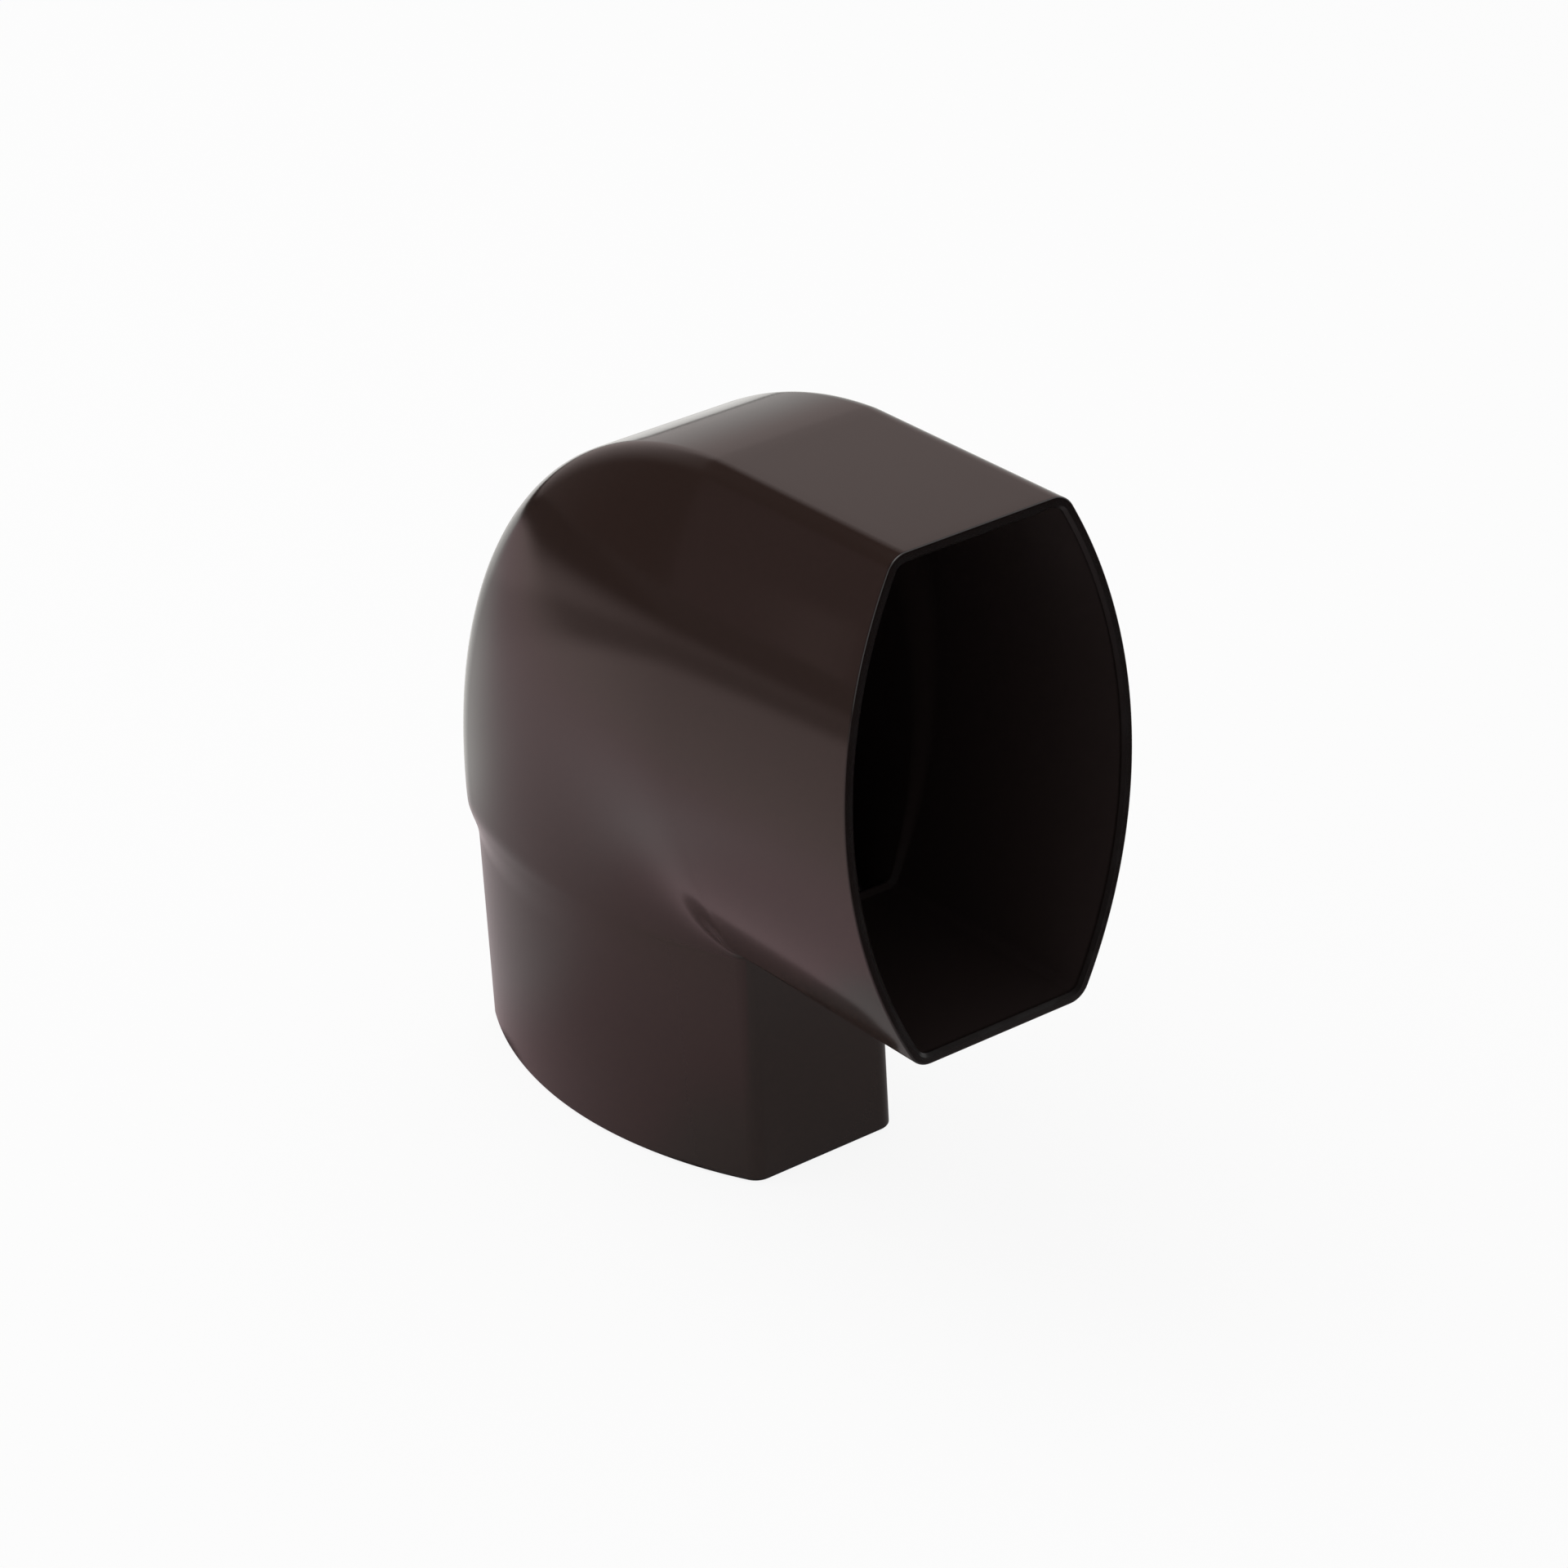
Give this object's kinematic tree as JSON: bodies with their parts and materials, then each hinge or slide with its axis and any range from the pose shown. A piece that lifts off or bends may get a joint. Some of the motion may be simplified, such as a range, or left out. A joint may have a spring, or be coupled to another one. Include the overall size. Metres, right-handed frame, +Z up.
{
  "type": "downspout elbow",
  "caption": "Moulded right-angled downpipe elbow of barrel section, with a socket that takes the upper pipe and a narrower spigot that enters the lower pipe.",
  "frame": {"origin": "centre of the spigot's end", "axes": "+Z up along the spigot into the bend, +X out along the socket, +Y across the bowed sides"},
  "size_m": [0.139, 0.0604, 0.1423],
  "materials": {
    "brown_plastic": "moulded rigid plastic, dark brown, smooth with a soft gloss"
  },
  "bodies": {
    "root": {"elbow": "brown_plastic"}
  },
  "joints": []
}
